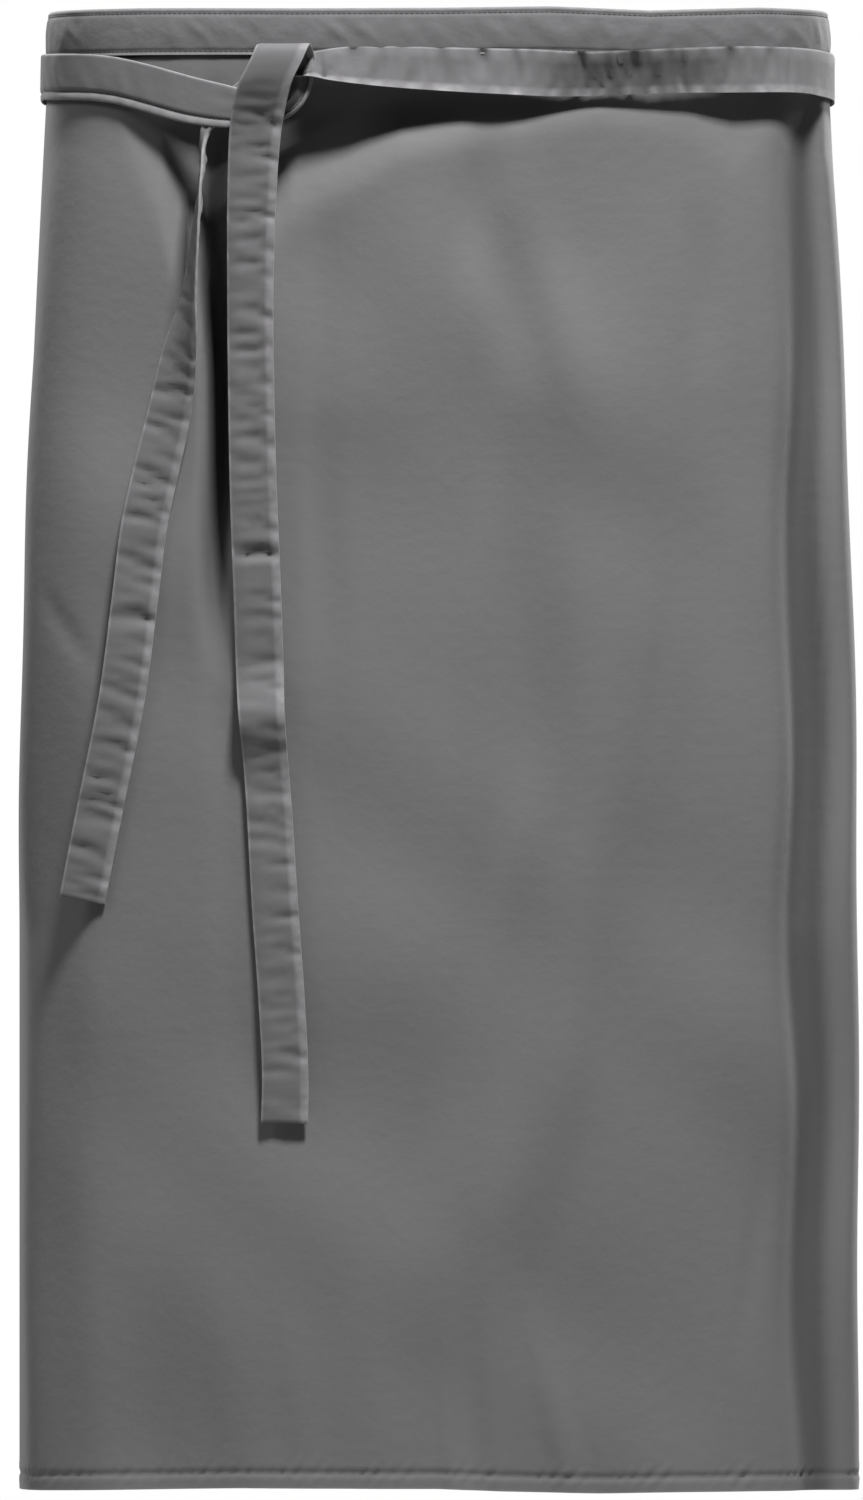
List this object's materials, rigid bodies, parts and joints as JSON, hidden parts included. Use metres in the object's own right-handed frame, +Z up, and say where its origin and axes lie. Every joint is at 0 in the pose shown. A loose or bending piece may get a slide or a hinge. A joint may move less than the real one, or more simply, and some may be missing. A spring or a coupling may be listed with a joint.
{
  "type": "waist apron",
  "caption": "Long waist apron in plain grey twill, shown as worn, with a narrow waistband and two flat ties knotted in front with hanging ends.",
  "frame": {"origin": "centre of the waist opening, at half the height of the waistband", "axes": "+Z up, out of the waist opening; -Y is the front that the picture shows; +X is to the right seen from the front"},
  "size_m": [0.454, 0.2366, 0.8008],
  "materials": {
    "skirt_twill": "fine dyed cotton twill, matt with a faint sheen",
    "band_twill": "fine dyed cotton twill, folded double and topstitched",
    "tie_twill": "fine dyed cotton twill, folded, edge-stitched and creased"
  },
  "bodies": {
    "root": {"skirt_panel": "skirt_twill", "bottom_hem": "skirt_twill", "side_hem_left": "skirt_twill", "side_hem_right": "skirt_twill", "waistband": "band_twill", "tie_long_end": "tie_twill", "tie_short_end": "tie_twill"}
  },
  "joints": []
}
